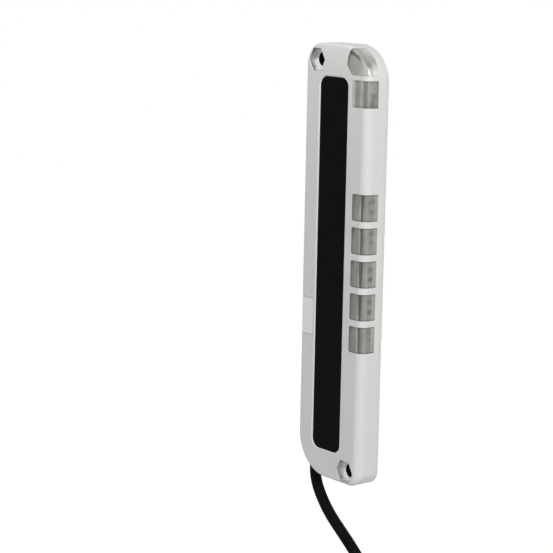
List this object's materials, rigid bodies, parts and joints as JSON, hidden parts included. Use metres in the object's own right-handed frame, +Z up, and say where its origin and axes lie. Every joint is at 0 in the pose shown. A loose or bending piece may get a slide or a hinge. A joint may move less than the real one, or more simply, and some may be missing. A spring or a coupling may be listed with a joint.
{
  "type": "safety light curtain",
  "caption": "Slim white receiver bar of a safety light curtain with a black optical filter window, wrap-round clear indicators, corner mounting inserts and a bare-ended cable.",
  "frame": {"origin": "on the flat back face, midway between the two mounting holes", "axes": "+Z up along the bar towards the status indicator end, +X to the right as seen from the front, +Y from the front window towards the mounting surface"},
  "size_m": [0.0725, 0.0171, 0.2781],
  "materials": {
    "housing_white": "satin",
    "cover_grey": "satin",
    "filter_black": "gloss",
    "clear_guide": "clear moulded plastic",
    "board_green": "satin",
    "black_plastic": "matte",
    "insert_steel": "satin",
    "chip_black": "matte",
    "grommet_rubber": "matte",
    "switch_body": "matte",
    "slider_white": "matte",
    "capacitor_tan": "satin",
    "lens_clear": "clear",
    "photodiode_dark": "gloss",
    "led_clear": "gloss",
    "cable_jacket": "matte",
    "tie_black": "matte",
    "core_brown": "satin",
    "core_blue": "satin",
    "core_black": "satin",
    "core_white": "satin"
  },
  "bodies": {
    "housing": {"board_lead_black": "core_black", "board_lead_blue": "core_blue", "board_lead_brown": "core_brown", "board_lead_white": "core_white", "cable": "cable_jacket", "cable_clamp": "black_plastic", "cable_coil": "cable_jacket", "cable_grommet": "grommet_rubber", "cable_tail": "cable_jacket", "cable_tie": "tie_black", "chip_parts": "capacitor_tan", "controller_chip": "chip_black", "core_end_black": "core_black", "core_end_blue": "core_blue", "core_end_brown": "core_brown", "core_end_white": "core_white", "filter_window": "filter_black", "front_housing": "housing_white", "indicator_led_1": "led_clear", "indicator_led_2": "led_clear", "indicator_led_3": "led_clear", "indicator_led_4": "led_clear", "indicator_led_5": "led_clear", "indicator_led_6": "led_clear", "indicator_led_7": "led_clear", "indicator_light_guide": "clear_guide", "lens_holder": "black_plastic", "main_board": "board_green", "mode_switch_body": "switch_body", "mounting_insert_lower": "insert_steel", "mounting_insert_upper": "insert_steel", "output_driver": "chip_black", "photodiode_1": "photodiode_dark", "photodiode_2": "photodiode_dark", "photodiode_3": "photodiode_dark", "photodiode_4": "photodiode_dark", "photodiode_5": "photodiode_dark", "rear_cover": "cover_grey", "receiver_lens_1": "lens_clear", "receiver_lens_2": "lens_clear", "receiver_lens_3": "lens_clear", "receiver_lens_4": "lens_clear", "receiver_lens_5": "lens_clear", "reservoir_capacitors": "capacitor_tan", "signal_amplifier": "chip_black", "voltage_regulator": "chip_black"},
    "switch_cover": {"mode_switch_cover": "housing_white"},
    "slider_1": {"mode_switch_slider_1": "slider_white"},
    "slider_2": {"mode_switch_slider_2": "slider_white"},
    "slider_3": {"mode_switch_slider_3": "slider_white"},
    "slider_4": {"mode_switch_slider_4": "slider_white"}
  },
  "joints": [
    {"name": "switch_cover_lift_off", "type": "slide", "parent": "housing", "child": "switch_cover", "axis": [-0.7071, -0.7071, 0], "range_m": [0, 0.02]},
    {"name": "slider_1_travel", "type": "slide", "parent": "housing", "child": "slider_1", "axis": [1, 0, 0], "range_m": [0, 0.001]},
    {"name": "slider_2_travel", "type": "slide", "parent": "housing", "child": "slider_2", "axis": [1, 0, 0], "range_m": [0, 0.001]},
    {"name": "slider_3_travel", "type": "slide", "parent": "housing", "child": "slider_3", "axis": [1, 0, 0], "range_m": [0, 0.001]},
    {"name": "slider_4_travel", "type": "slide", "parent": "housing", "child": "slider_4", "axis": [1, 0, 0], "range_m": [0, 0.001]}
  ]
}
